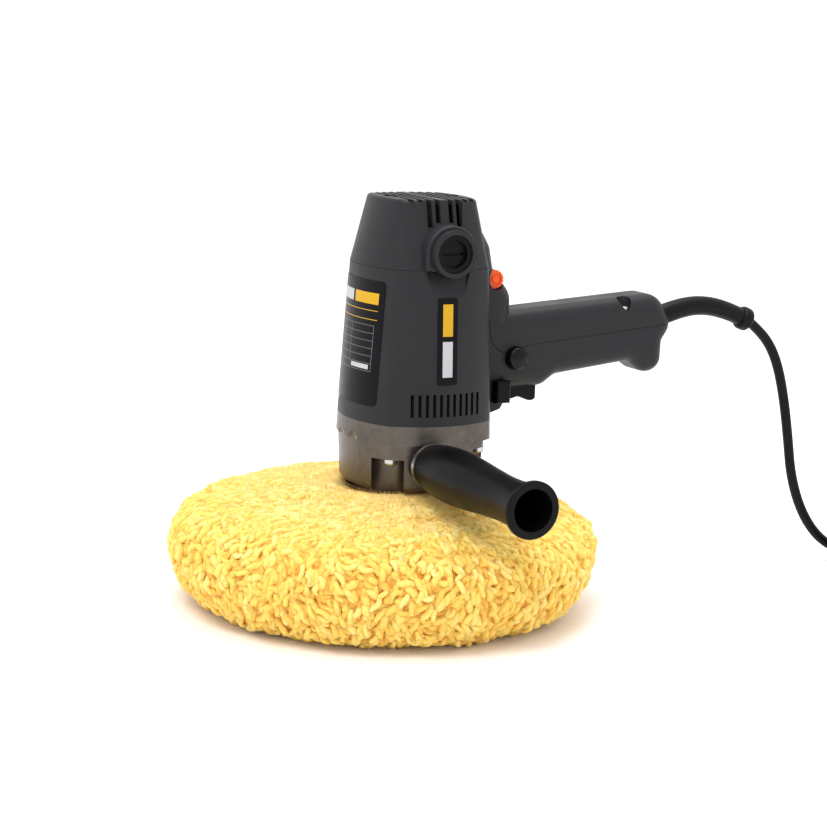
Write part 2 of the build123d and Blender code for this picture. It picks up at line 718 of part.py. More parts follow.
with BuildPart() as top_cap:
    add(body_form(cap_low + 0.2, cap_high))
    fillet(top_cap.edges().group_by(Axis.Z)[-1], 2.6)
    add(panel_cut.part, mode=Mode.SUBTRACT)
    for side in (-1, 1):
        add(side_round(motor_x, brush_z, hood_r, side * 20, side * hood_out))
        add(block((motor_x - hood_r, side * 20, cap_low + 0.2), (motor_x + hood_r, side * hood_out, brush_z)))
    front = top_cap.edges().filter_by(lambda e: abs(abs(e.center().Y) - hood_out) < 0.01)
    fillet(front, 1.6)
    add(block((-60, -60, 180), (90, 60, cap_low + 0.2)), mode=Mode.SUBTRACT)
    add(body_form(cap_low, cap_high - wall, -wall), mode=Mode.SUBTRACT)
    for side in (-1, 1):
        add(side_round(motor_x, brush_z, boss_r, side * 33.9, side * boss_out))
        add(side_round(motor_x, brush_z, 9.6, side * 18.5, side * 36))
        add(disc(motor_x + side * cap_screw_offset, cap_low + 0.2, 240, 4.4))
    add(disc(motor_x, 223.6, 240, 12.6))
    # Seats for the upper bearing and the brush gear
    add(disc(motor_x, 223, 230.3, 9.5 + bearing_gap), mode=Mode.SUBTRACT)
    add(disc(motor_x, 223, 233, 6), mode=Mode.SUBTRACT)
    for side in (-1, 1):
        add(
            block((motor_x - 4.05, side * 18, brush_z - 6.55), (motor_x + 4.05, side * 39, brush_z + 6.55)),
            mode=Mode.SUBTRACT,
        )
        add(side_round(motor_x, brush_z, 11.1, side * 38.5, side * 46), mode=Mode.SUBTRACT)
        add(disc(motor_x + side * cap_screw_offset, 200, 245, 2.0), mode=Mode.SUBTRACT)
        add(disc(motor_x + side * cap_screw_offset, 236.4, 245, 3.9), mode=Mode.SUBTRACT)
        for off in vent_offsets:
            low = 229 if abs(off) < 5 else 226.4
            add(
                block((motor_x + off - 1.5, side * 13.4, low), (motor_x + off + 1.5, side * 50, 246)),
                mode=Mode.SUBTRACT,
            )
    for off in rib_offsets:
        add(block((motor_x + off - 1.5, -40, 240.3), (motor_x + off + 1.5, 40, 246)), mode=Mode.SUBTRACT)
save(top_cap.part, "top_cap")

with BuildPart() as cap_screws:
    for side in (-1, 1):
        add(screw((motor_x + side * cap_screw_offset, 0, 236.4), 37.4, 1.65, 3.5, 2.6, flip=True))
save(cap_screws.part, "cap_screws")

with BuildPart() as brush_holders:
    for side in (-1, 1):
        add(block((motor_x - 4, side * 14.8, brush_z - 6.5), (motor_x + 4, side * 38.4, brush_z + 6.5)))
        add(
            block((motor_x - 3.1, side * 14, brush_z - 5.6), (motor_x + 3.1, side * 39, brush_z + 5.6)),
            mode=Mode.SUBTRACT,
        )
save(brush_holders.part, "brush_holders")

with BuildPart() as carbon_brushes:
    for side in (-1, 1):
        add(block((motor_x - 3, side * 13.05, brush_z - 5.5), (motor_x + 3, side * 27, brush_z + 5.5)))
save(carbon_brushes.part, "carbon_brushes")

with BuildPart() as brush_caps:
    for side in (-1, 1):
        add(side_round(motor_x, brush_z, 11.0, side * 38.5, side * 43.9))
        add(side_round(motor_x, brush_z, 8.0, side * 41.4, side * 45), mode=Mode.SUBTRACT)
        add(
            block((motor_x - 6.5, side * 39.8, brush_z - 0.9), (motor_x + 6.5, side * 45, brush_z + 0.9)),
            mode=Mode.SUBTRACT,
        )
save(brush_caps.part, "brush_caps")


def coil_spring(at, aim, radius, wire_r, length, turns):
    """A helical spring that starts at a point and runs along aim."""
    with BuildPart() as form:
        with BuildLine() as wire:
            Helix(length / turns, length, radius, center=at, direction=aim)
        with BuildSketch(Plane(wire.line @ 0, z_dir=wire.line % 0)):
            Circle(wire_r)
        sweep(path=wire.line, is_frenet=True)
    return form.part


with BuildPart() as brush_springs:
    for side in (-1, 1):
        add(coil_spring((motor_x, side * 27.5, brush_z), (0, side, 0), 2.2, 0.35, 10.4, 6))
save(brush_springs.part, "brush_springs")

# ---------------------------------------------------------------- controls
with BuildPart() as trigger:
    with BuildSketch(Plane.XZ):
        with BuildLine():
            Polyline((78, 120.2), (78, trigger_high), (97, trigger_high), (97, 118.8), (95.6, trigger_low))
            Spline((95.6, trigger_low), (91.5, 118.4), (85.0, 120.6), (79.6, 119.6), (78, 120.2))
        make_face()
    extrude(amount=7, both=True)
    rim = trigger.edges().filter_by(lambda e: abs(abs(e.center().Y) - 7) < 0.01 and e.center().Z < 122)
    fillet(rim, 1.2)
    add(disc(87.5, 129, 140, 3.6), mode=Mode.SUBTRACT)
save(trigger.part, "trigger")

with BuildPart() as trigger_spring:
    add(coil_spring((87.5, 0, 129.5), (0, 0, 1), 2.6, 0.4, switch_low - 130.0, 6))
save(trigger_spring.part, "trigger_spring")

with BuildPart() as switch_body:
    add(block((79, -9.5, switch_low), (103, 9.5, 158)))
    fillet(switch_body.edges(), 1.0)
    for y in (-5, 5):
        add(block((100, y - 2.4, 149), (106, y + 2.4, 149.8)))
save(switch_body.part, "switch_body")

with BuildPart() as lock_button:
    # Made lying along +Z, with its domed end down
    with BuildSketch(Plane.XZ):
        with BuildLine():
            Polyline((0, -13.2), (lock_r, -13.2), (lock_r, -19.0))
            Spline((lock_r, -19.0), (4.6, -21.3), (0, -22.2), tangents=((0, -1), (-1, 0)))
            Line((0, -22.2), (0, -13.2))
        make_face()
    revolve(axis=Axis.Z)
lock_turned = Pos(lock_at[0], 0, lock_at[1]) * Rot(-90, 0, 0) * lock_button.part
save(lock_turned, "lock_button")

with BuildPart() as lock_off_slide:
    add(block((slide_x[0], -22.8, slide_z[0]), (slide_x[1], -16.25, slide_z[1])))
    fillet(lock_off_slide.edges().group_by(Axis.Y)[0], 1.4)
    add(block((64.1, -17, 122.6), (68.1, -11, 128.4)))
save(lock_off_slide.part, "lock_off_slide")

with BuildPart() as speed_dial:
    with BuildSketch(Plane((dial_at[0], dial_y[0], dial_at[1]), x_dir=(1, 0, 0), z_dir=(0, 1, 0))):
        Circle(dial_r)
        with PolarLocations(dial_r + 0.35, dial_knurls):
            Circle(0.75, mode=Mode.SUBTRACT)
    extrude(amount=dial_y[1] - dial_y[0])
    add(side_round(*dial_at, dial_r - 1.7, dial_y[0] - 0.1, dial_y[0] + 0.8), mode=Mode.SUBTRACT)
    add(side_round(*dial_at, dial_shaft_r, dial_y[0], dial_end))
save(speed_dial.part, "speed_dial")

with BuildPart() as speed_controller:
    add(block((63, -10, 158), (64.6, 10, 181)))
    add(block((64.6, -7, 166), (71, 7, 178)))
    add(block((64.6, -4, 159), (70, 4, 164)))
save(speed_controller.part, "speed_controller")

with BuildPart() as capacitor:
    add(block((121, -6, 149), (143, 6, 163)))
    fillet(capacitor.edges(), 1.0)
save(capacitor.part, "capacitor")

# ---------------------------------------------------------------- labels, blank
label_thick = 0.4
with BuildPart() as front_label:
    with BuildSketch(Plane.YZ.offset(-40)):
        with Locations((0, 159)):
            RectangleRounded(50, 72, 3)
    extrude(amount=40)
    add(body_form(body_low, cap_low, label_thick + 0.02), mode=Mode.INTERSECT)
    add(body_form(body_low, cap_low, 0.02), mode=Mode.SUBTRACT)

with BuildPart() as side_labels:
    with BuildSketch(Plane.XZ):
        with Locations((16.8, 162)):
            RectangleRounded(12.6, 50, 1.2)
    extrude(amount=60, both=True)
    add(body_form(body_low, cap_low, label_thick + 0.02), mode=Mode.INTERSECT)
    add(body_form(body_low, cap_low, 0.02), mode=Mode.SUBTRACT)
save(front_label.part + side_labels.part, "labels")

# ---------------------------------------------------------------- cord guard and supply cord
guard_line = [guard_root, (191.5, 0, 166.8), (210.0, 0, 171.1), (231.0, 0, 170.1), (250.4, 0, 163.8)]
guard_tip_aim = (0.92, 0, -0.39)

with BuildPart() as guard_bead:
    # The rounded bead at the guard's tip, made lying along +Z
    Cylinder(7.5, 8, align=(Align.CENTER, Align.CENTER, Align.MIN))
    fillet(guard_bead.edges().filter_by(GeomType.CIRCLE), 2.6)

with BuildPart() as cord_guard:
    with BuildLine() as guard_path:
        Spline(*guard_line, tangents=(guard_aim, guard_tip_aim))
    with BuildSketch(Plane(guard_path.line @ 0, x_dir=(0, 1, 0), z_dir=guard_path.line % 0)):
        Circle(guard_start_r)
    with BuildSketch(Plane(guard_path.line @ 0.5, x_dir=(0, 1, 0), z_dir=guard_path.line % 0.5)):
        Circle((guard_start_r + guard_end_r) / 2)
    with BuildSketch(Plane(guard_path.line @ 1, x_dir=(0, 1, 0), z_dir=guard_path.line % 1)):
        Circle(guard_end_r)
    sweep(path=guard_path.line, multisection=True)
    with BuildSketch(Plane(guard_root, x_dir=(0, 1, 0), z_dir=guard_aim)):
        Circle(guard_flange_r)
    extrude(amount=-guard_flange_deep)
    with Locations(Plane(guard_line[-1], x_dir=(0, 1, 0), z_dir=guard_path.line % 1)):
        add(guard_bead.part)
save(cord_guard.part, "cord_guard")

# The cord's route from the guard's tip: down, and along the surface to the coil
cord_route = [
    (257.8, 0, 160.7), (268.6, 0, 152.9), (277.8, -0.4, 142.0), (284.2, -1.0, 128.0), (289.5, -1.9, 108.0),
    (293.5, -3.4, 84.0), (297.0, -5.4, 56.0), (306.0, -8.4, 31.0), (320.0, -12.0, 13.0), (338.0, -15.4, 4.8),
    (354.0, -16.8, cord_r),
]
coil_at = (354.0, -61.0)
coil_inner = 28.0
coil_outer = 47.5
coil_high = 19.5
tail_route = [
    (398.2, -59.0, 9.75), (398.4, -76.0, 8.6), (395.0, -95.5, 5.2), (384.6, -111.5, 3.6),
    (368.6, -120.8, 5.0), (353.0, -123.4, 8.5),
]


def tube(route):
    """A cord along straight runs and tangent arcs, each arc as large as its runs allow."""
    points = [Vector(*p) for p in route]
    radii = []
    for before, here, after in zip(points, points[1:], points[2:]):
        shorter = min((here - before).length, (after - here).length)
        turn = math.radians((here - before).get_angle(after - here))
        radii.append(0.45 * shorter / math.tan(turn / 2))
    print("cord radii", [round(r, 1) for r in radii])
    with BuildPart() as form:
        with BuildLine() as path:
            FilletPolyline(*points, radius=radii)
        with BuildSketch(Plane(path.line @ 0, z_dir=path.line % 0)):
            Circle(cord_r)
        sweep(path=path.line)
    along = sum(edge.length for edge in path.edges())
    print("cord length", round(along, 1), "volume ratio", form.part.volume / (math.pi * cord_r**2 * along))
    return form.part


save(tube(cord_route), "power_cord")
save(tube(tail_route), "cord_tail")

with BuildPart() as cord_coil:
    with BuildSketch(Plane((coil_at[0], coil_at[1], 0), x_dir=(1, 0, 0), z_dir=(0, -1, 0))):
        with Locations(((coil_inner + coil_outer) / 2, coil_high / 2)):
            RectangleRounded(coil_outer - coil_inner, coil_high, cord_r)
    revolve(axis=Axis((*coil_at, 0), (0, 0, 1)))
save(cord_coil.part, "cord_coil")

with BuildPart() as cord_tie:
    # A band round the bundle where it faces away from the machine
    with BuildSketch(Plane((coil_at[0], coil_at[1], 0), x_dir=(1, 0, 0), z_dir=(0, -1, 0))):
        with Locations(((coil_inner + coil_outer) / 2, coil_high / 2 + 1.2)):
            RectangleRounded(coil_outer - coil_inner + 2.4, coil_high + 2.4, cord_r + 1)
            RectangleRounded(coil_outer - coil_inner + 0.2, coil_high - 1.2, cord_r, mode=Mode.SUBTRACT)
    extrude(amount=4, both=True)
    add(block((300, -120, -5), (420, 0, 0)), mode=Mode.SUBTRACT)
save(cord_tie.part, "cord_tie")

plug_from = 353.0  # the cord's end of the plug, which lies on its flat side and points along -X
plug_y = -123.4
plug_z = 8.5
with BuildPart() as plug_body:
    with BuildSketch(Plane((plug_from, plug_y, plug_z), x_dir=(0, 1, 0), z_dir=(-1, 0, 0))):
        Ellipse(6.5, 5.5)
    with BuildSketch(Plane((plug_from - 12, plug_y, plug_z), x_dir=(0, 1, 0), z_dir=(-1, 0, 0))):
        Ellipse(9, 6.4)
    with BuildSketch(Plane((plug_from - 24, plug_y, plug_z), x_dir=(0, 1, 0), z_dir=(-1, 0, 0))):
        Ellipse(15, 8.3)
    loft()
    with BuildSketch(Plane((plug_from - 24, plug_y, plug_z), x_dir=(0, 1, 0), z_dir=(-1, 0, 0))):
        SlotOverall(35.4, 16.8)
    extrude(amount=13)
    rims = plug_body.faces().sort_by(Axis.X)[0].edges()
    fillet(rims, 1.5)
    with BuildSketch(Plane((plug_from - 37, plug_y, plug_z), x_dir=(0, 1, 0), z_dir=(1, 0, 0))):
        with Locations((-9.5, 0), (9.5, 0)):
            Circle(2.4)
    extrude(amount=8, mode=Mode.SUBTRACT)
save(plug_body.part, "plug_body")

with BuildPart() as plug_pins:
    with BuildSketch(Plane((plug_from - 29.05, plug_y, plug_z), x_dir=(0, 1, 0), z_dir=(-1, 0, 0))):
        with Locations((-9.5, 0), (9.5, 0)):
            Circle(2.38)
    extrude(amount=27)
    fillet(plug_pins.edges().group_by(Axis.X)[0], 1.2)
save(plug_pins.part, "plug_pins")

# ---------------------------------------------------------------- inside the handle's end
with BuildPart() as supply_lead:
    with BuildLine() as lead_path:
        Spline((146, 0, 157.0), (162, 0, 158.6), (177.13, 0, 162.42), tangents=((1, 0, 0), guard_aim))
    with BuildSketch(Plane(lead_path.line @ 0, z_dir=lead_path.line % 0)):
        Circle(cord_r)
    sweep(path=lead_path.line)
save(supply_lead.part, "supply_lead")

with BuildPart() as cord_clamp:
    add(block((162, -10.8, 151), (168, 10.8, 154.0)))
save(cord_clamp.part, "cord_clamp")
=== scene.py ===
"""The looks of the rotary polisher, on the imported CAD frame.

Metres, with +Z up and +X to the rear handle. The wool, the cord and the labels' print are worked
out in millimetres.
"""
import json
import math

import bpy
import numpy as np
from mathutils import Matrix, Vector, noise


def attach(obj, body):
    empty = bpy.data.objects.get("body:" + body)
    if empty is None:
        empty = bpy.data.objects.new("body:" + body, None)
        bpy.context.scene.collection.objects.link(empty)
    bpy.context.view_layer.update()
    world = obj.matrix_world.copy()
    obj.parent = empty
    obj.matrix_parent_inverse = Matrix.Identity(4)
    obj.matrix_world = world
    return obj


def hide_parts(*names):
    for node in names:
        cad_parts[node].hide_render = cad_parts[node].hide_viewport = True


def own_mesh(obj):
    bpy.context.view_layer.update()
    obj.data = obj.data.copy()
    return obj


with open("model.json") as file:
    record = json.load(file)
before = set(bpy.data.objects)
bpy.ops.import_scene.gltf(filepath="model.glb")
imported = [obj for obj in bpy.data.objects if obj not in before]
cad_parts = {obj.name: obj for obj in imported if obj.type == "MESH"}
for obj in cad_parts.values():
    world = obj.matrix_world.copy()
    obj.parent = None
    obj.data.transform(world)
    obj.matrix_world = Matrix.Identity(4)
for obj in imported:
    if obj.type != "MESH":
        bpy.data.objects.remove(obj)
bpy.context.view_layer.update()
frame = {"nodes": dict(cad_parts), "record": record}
nodes = frame["nodes"]
scene = bpy.context.scene
mm = 0.001


# ---------------------------------------------------------------- camera
view_side = math.radians(-27.68)
view_up = math.radians(10.67)
view_roll = math.radians(2.17)
view_target = Vector((13.97, -7.33, 114.26)) * mm
view_distance = 1226.8 * mm
view_lens, view_sensor = 90.5, 36

back = Vector((
    math.sin(view_side) * math.cos(view_up),
    -math.cos(view_side) * math.cos(view_up),
    math.sin(view_up),
))
level_right = Vector((math.cos(view_side), math.sin(view_side), 0))
level_up = back.cross(level_right)
right = level_right * math.cos(view_roll) + level_up * math.sin(view_roll)
upward = level_up * math.cos(view_roll) - level_right * math.sin(view_roll)

camera_data = bpy.data.cameras.new("camera")
camera_data.lens = view_lens
camera_data.sensor_width = view_sensor
camera = bpy.data.objects.new("camera", camera_data)
scene.collection.objects.link(camera)
camera.matrix_world = Matrix((
    (right.x, upward.x, back.x, 0),
    (right.y, upward.y, back.y, 0),
    (right.z, upward.z, back.z, 0),
    (0, 0, 0, 1),
))
camera.location = view_target + back * view_distance
scene.camera = camera


# ---------------------------------------------------------------- small helpers
noise_low, noise_high = 0.3, 0.7  # most of a noise texture's values lie between these


def linear(*rgb):
    """A colour given as 0 to 255 screen values, as the shader wants it."""
    return tuple(
        v / 255 / 12.92 if v <= 10 else ((v / 255 + 0.055) / 1.055) ** 2.4 for v in rgb
    ) + (1.0,)


def shades(colour, spread):
    """A darker and a lighter shade of one colour."""
    dark = tuple(v * (1 - spread) for v in colour[:3]) + (1.0,)
    light = tuple(min(v * (1 + spread), 1.0) for v in colour[:3]) + (1.0,)
    return dark, light


def noise_node(tree, scale, detail, rough=0.5, stretch=None):
    """A noise texture over the object's own coordinates, in metres."""
    place = tree.nodes.new("ShaderNodeTexCoord")
    texture = tree.nodes.new("ShaderNodeTexNoise")
    texture.inputs["Scale"].default_value = scale
    texture.inputs["Detail"].default_value = detail
    texture.inputs["Roughness"].default_value = rough
    if stretch is None:
        tree.links.new(place.outputs["Object"], texture.inputs["Vector"])
    else:
        mapping = tree.nodes.new("ShaderNodeMapping")
        mapping.inputs["Scale"].default_value = stretch
        tree.links.new(place.outputs["Object"], mapping.inputs["Vector"])
        tree.links.new(mapping.outputs["Vector"], texture.inputs["Vector"])
    return texture.outputs["Fac"]


def ramp(tree, value, low, high, colours):
    """Colours spread evenly between two values."""
    node = tree.nodes.new("ShaderNodeValToRGB")
    node.color_ramp.elements[0].position = low
    node.color_ramp.elements[1].position = high
    node.color_ramp.elements[0].color = colours[0]
    node.color_ramp.elements[1].color = colours[-1]
    for number, colour in enumerate(colours[1:-1]):
        step = (number + 1) / (len(colours) - 1)
        node.color_ramp.elements.new(low + (high - low) * step).color = colour
    tree.links.new(value, node.inputs["Fac"])
    return node.outputs["Color"]


def spread_over(tree, value, low, high):
    """A noise value moved to another range, and kept inside it."""
    node = tree.nodes.new("ShaderNodeMapRange")
    node.inputs["From Min"].default_value = noise_low
    node.inputs["From Max"].default_value = noise_high
    node.inputs["To Min"].default_value = low
    node.inputs["To Max"].default_value = high
    tree.links.new(value, node.inputs["Value"])
    return node.outputs["Result"]


def relief(tree, value, depth, strength, under=None):
    """A bump of some depth in metres, on top of another."""
    node = tree.nodes.new("ShaderNodeBump")
    node.inputs["Distance"].default_value = depth
    node.inputs["Strength"].default_value = strength
    tree.links.new(value, node.inputs["Height"])
    if under is not None:
        tree.links.new(under, node.inputs["Normal"])
    return node.outputs["Normal"]


def mixed(tree, factor, first, second):
    """Two colours mixed; each is a colour or another node's output."""
    node = tree.nodes.new("ShaderNodeMix")
    node.data_type = "RGBA"
    for slot, value in (("A", first), ("B", second)):
        socket = [s for s in node.inputs if s.name == slot and s.type == "RGBA"][0]
        if isinstance(value, tuple):
            socket.default_value = value
        else:
            tree.links.new(value, socket)
    share = [s for s in node.inputs if s.name == "Factor" and s.type == "VALUE"][0]
    tree.links.new(factor, share)
    return [s for s in node.outputs if s.type == "RGBA"][0]


def finish_of(
    name, colour, rough, metal=0.0, spread=0.12, patch=60.0, grain=1400.0, depth=0.00006,
    strength=0.35, specular=0.5, wave=0.0, stretch=None,
):
    """A material of one base colour with patches, fine grain and uneven gloss.

    The scales patch, grain and wave are per metre, and depth is the grain's, in metres. With wave,
    thin level stripes are added, as on a stack of plates.
    """
    made = bpy.data.materials.new(name)
    made.use_nodes = True
    tree = made.node_tree
    shader = tree.nodes["Principled BSDF"]
    shader.inputs["Metallic"].default_value = metal
    shader.inputs["Specular IOR Level"].default_value = specular
    patches = noise_node(tree, patch, 4.0, 0.6)
    patched = ramp(tree, patches, noise_low, noise_high, shades(colour, spread))
    tree.links.new(patched, shader.inputs["Base Color"])
    gloss = spread_over(tree, patches, rough - 0.06, rough + 0.07)
    tree.links.new(gloss, shader.inputs["Roughness"])
    bump = relief(tree, noise_node(tree, grain, 3.0, 0.6, stretch), depth, strength)
    if wave:
        place = tree.nodes.new("ShaderNodeTexCoord")
        stripes = tree.nodes.new("ShaderNodeTexWave")
        stripes.bands_direction = "Z"
        stripes.inputs["Scale"].default_value = wave
        tree.links.new(place.outputs["Object"], stripes.inputs["Vector"])
        bump = relief(tree, stripes.outputs["Fac"], 0.0003, 0.6, bump)
    tree.links.new(bump, shader.inputs["Normal"])
    return made


def object_from(name, points, faces, smooth=True):
    """A mesh object from points in metres."""
    mesh = bpy.data.meshes.new(name)
    mesh.from_pydata(points, [], faces)
    if smooth:
        mesh.polygons.foreach_set("use_smooth", [True] * len(mesh.polygons))
    mesh.update()
    made = bpy.data.objects.new(name, mesh)
    scene.collection.objects.link(made)
    return made


# ---------------------------------------------------------------- materials for the CAD nodes
finishes = {
    "charcoal_shell": finish_of(
        "charcoal_shell", linear(34, 34, 37), 0.44, spread=0.08, patch=35, grain=2600,
        depth=0.00005, specular=0.2,
    ),
    "black_plastic": finish_of(
        "black_plastic", linear(7, 7, 9), 0.36, spread=0.14, grain=2200, depth=0.00004,
        specular=0.12,
    ),
    "gloss_black": finish_of(
        "gloss_black", linear(4, 4, 5), 0.2, spread=0.1, strength=0.1, specular=0.2,
    ),
    "orange_plastic": finish_of(
        "orange_plastic", linear(226, 84, 30), 0.42, spread=0.08, grain=2200, specular=0.3,
    ),
    "cast_alloy": finish_of(
        "cast_alloy", linear(92, 86, 80), 0.34, metal=0.95, spread=0.22, patch=110, grain=900,
        depth=0.00012, strength=0.45,
    ),
    "steel": finish_of(
        "steel", linear(190, 190, 192), 0.26, metal=1.0, spread=0.08, grain=3000, depth=0.00003,
    ),
    "lamination_steel": finish_of(
        "lamination_steel", linear(96, 98, 104), 0.42, metal=0.8, spread=0.12, wave=1000,
    ),
    "copper_winding": finish_of(
        "copper_winding", linear(176, 94, 48), 0.3, metal=0.7, spread=0.2, grain=1100,
        depth=0.0004, strength=0.8, stretch=(1, 1, 0.1),
    ),
    "brass": finish_of("brass", linear(196, 158, 88), 0.28, metal=1.0, spread=0.12, grain=2400),
    "carbon": finish_of("carbon", linear(44, 44, 46), 0.5, spread=0.25, grain=1800),
    "rubber": finish_of(
        "rubber", linear(8, 8, 10), 0.46, spread=0.14, grain=1800, depth=0.00008, specular=0.15,
    ),
    "pad_rubber": finish_of(
        "pad_rubber", linear(34, 34, 35), 0.62, spread=0.15, grain=1300, depth=0.00015,
    ),
    "cord_sheath": finish_of(
        "cord_sheath", linear(8, 8, 10), 0.44, spread=0.12, grain=1500, depth=0.00006,
        specular=0.15,
    ),
    "felt": finish_of(
        "felt", linear(104, 98, 88), 0.85, spread=0.3, grain=900, depth=0.0004, strength=0.8,
    ),
}


def maths(tree, operation, first, second):
    """A maths operation on a node's output and a number or another node's output."""
    node = tree.nodes.new("ShaderNodeMath")
    node.operation = operation
    tree.links.new(first, node.inputs[0])
    if isinstance(second, float):
        node.inputs[1].default_value = second
    else:
        tree.links.new(second, node.inputs[1])
    return node.outputs[0]


def inside(tree, coordinate, low, high):
    """1 where a coordinate lies between two limits in mm, else 0."""
    above = maths(tree, "GREATER_THAN", coordinate, low * mm)
    below = maths(tree, "LESS_THAN", coordinate, high * mm)
    return maths(tree, "MULTIPLY", above, below)


def label_film():
    """Dark glossy film with plain printed bars and an empty ruled table, and no lettering."""
    made = finish_of(
        "label_film", linear(5, 6, 10), 0.3, spread=0.1, grain=1500, depth=0.00002, specular=0.12,
    )
    tree = made.node_tree
    shader = tree.nodes["Principled BSDF"]
    place = tree.nodes.new("ShaderNodeTexCoord")
    split = tree.nodes.new("ShaderNodeSeparateXYZ")
    tree.links.new(place.outputs["Object"], split.inputs["Vector"])
    x, y, z = split.outputs[0], split.outputs[1], split.outputs[2]
    front = inside(tree, x, -50, -12)
    sides = inside(tree, x, 0, 40)
    colour = shader.inputs["Base Color"].links[0].from_socket

    def print_on(colour, region, across, rows, ink):
        """Prints bars: across is a coordinate with its two limits, rows are pairs of heights."""
        for low, high in rows:
            area = maths(tree, "MULTIPLY", inside(tree, *across), inside(tree, z, low, high))
            colour = mixed(tree, maths(tree, "MULTIPLY", area, region), colour, ink)
        return colour

    light = linear(178, 178, 182)
    yellow = linear(196, 152, 34)
    grey = linear(96, 96, 102)
    # Front plate: a light and a yellow bar, two thin lines, and an empty table
    colour = print_on(colour, front, (y, 4, 21), [(181.5, 188.0)], light)
    colour = print_on(colour, front, (y, -21, 1.5), [(181.5, 188.0)], yellow)
    colour = print_on(colour, front, (y, -21, 21), [(177.6, 178.0), (172.4, 172.8)], yellow)
    table_rows = [(low, low + 0.35) for low in (169.0, 164.6, 160.2, 155.8, 151.4, 147.0, 142.6)]
    colour = print_on(colour, front, (y, -19, 19), table_rows, grey)
    for line_low, line_high in ((-19.2, -18.8), (2.2, 2.6), (18.8, 19.2)):
        colour = print_on(colour, front, (y, line_low, line_high), [(142.6, 169.3)], grey)
    colour = print_on(colour, front, (y, -17, 0), [(143.8, 146.4)], light)
    # Side plates: one light and one yellow bar, upright
    colour = print_on(colour, sides, (x, 13.6, 20), [(141.5, 162.0)], light)
    colour = print_on(colour, sides, (x, 13.6, 20), [(165.0, 183.5)], yellow)
    tree.links.new(colour, shader.inputs["Base Color"])
    return made


finishes["label_film"] = label_film()


# ---------------------------------------------------------------- wool, in mm
rng = np.random.default_rng(11)
fibre_clear = 0.3  # the wool's lowest point above the floor
casting_reach = 57.5  # how far from the spindle axis the gear housing reaches over the pile
casting_clear = 72.6  # highest point of the wool under it
pile_highest = 76.5  # and elsewhere, from open_from outwards
open_from = 72.0
fibre_highest = 76.0  # highest point of the single fibres
lock_stray = 0.38  # how much the directions of neighbouring locks differ, in radians


def bezier(points, count):
    """Points along a cubic curve."""
    t = np.linspace(0, 1, count)[:, None]
    a, b, c, d = (np.array(p, float) for p in points)
    return (1 - t) ** 3 * a + 3 * (1 - t) ** 2 * t * b + 3 * (1 - t) * t**2 * c + t**3 * d


def unit(v):
    """Vectors made one long."""
    return v / np.maximum(np.linalg.norm(v, axis=-1, keepdims=True), 1e-9)


outline = np.vstack([
    np.array([(28.0 + 5.5 * k, 0.0) for k in range(10)]),
    bezier([(83, 0), (111, 0), (125, 14.5), (125, 39)], 60),
    bezier([(125, 39), (125, 56), (100, 68.5), (31.0, 72.6)], 90)[1:],
    np.array([(28.5, 71.6), (26.5, 69.4), (23.0, 67.6), (17.0, 66.8)]),
])
steps = np.linalg.norm(np.diff(outline, axis=0), axis=1)
travel = np.concatenate([[0], np.cumsum(steps)])
pile_length = travel[-1]
neck = pile_length - 15.5  # from here on the pile tucks in under the gear housing
side_from, side_to = 52.0, 150.0  # along the outline, from under the rim to its shoulder


def on_pile(distance):
    """Radius, height and direction of travel at distances along the pile's outline."""
    radius = np.interp(distance, travel, outline[:, 0])
    height = np.interp(distance, travel, outline[:, 1])
    ahead = np.stack([np.interp(distance + 1, travel, outline[:, k]) for k in (0, 1)], axis=-1)
    behind = np.stack([np.interp(distance - 1, travel, outline[:, k]) for k in (0, 1)], axis=-1)
    return radius, height, unit(ahead - behind)


def frames_on(distance, angle):
    """Points of the pile with the outward, down-slope and round-the-pile directions there."""
    radius, height, along = on_pile(distance)
    cos, sin, none = np.cos(angle), np.sin(angle), np.zeros_like(angle)
    point = np.stack([radius * cos, radius * sin, height], axis=-1)
    outward = np.stack([along[:, 1] * cos, along[:, 1] * sin, -along[:, 0]], axis=-1)
    downhill = -np.stack([along[:, 0] * cos, along[:, 0] * sin, along[:, 1]], axis=-1)
    around = np.stack([-sin, cos, none], axis=-1)
    return point, outward, downhill, around


def lumps(points, size, seed):
    """Smooth noise at points, from about -1 to 1, with lumps of a size."""
    shift = Vector((seed * 31.7, seed * 17.3, seed * 7.9))
    return np.array([noise.noise(Vector(p) / size + shift) for p in points])


def calm(distance):
    """How much of the lumps is left: all of them, fading towards the neck."""
    return np.interp(distance, [neck - 25, neck], [1.0, 0.25])


def broad_lumps(points):
    """How far the pile's broad lumps stand out at points."""
    return 1.8 * lumps(points, 21, 1) + 1.9 * lumps(points, 9, 2)


def comb(points):
    """The angle that the wool lies at, from straight down the slope, at points."""
    return 1.5 * lumps(points, 26, 5) + 1.1 * lumps(points, 11, 6)


def paint_light_and_shade(made, painted_light):
    """Stores each point's level of painted light for the colour: low for painted shade deep among
    the pile's roots, high where it stands out.
    """
    layer = made.data.attributes.new("painted_light", "FLOAT", "POINT")
    layer.data.foreach_set("value", np.ascontiguousarray(painted_light, dtype=np.float32))


def under_housing(points):
    """Keeps points off the floor and below the gear housing that the pile turns under."""
    radius = np.hypot(points[..., 0], points[..., 1])
    limit = np.interp(radius, [casting_reach, open_from], [casting_clear, pile_highest])
    points[..., 2] = np.clip(points[..., 2], fibre_clear, limit)


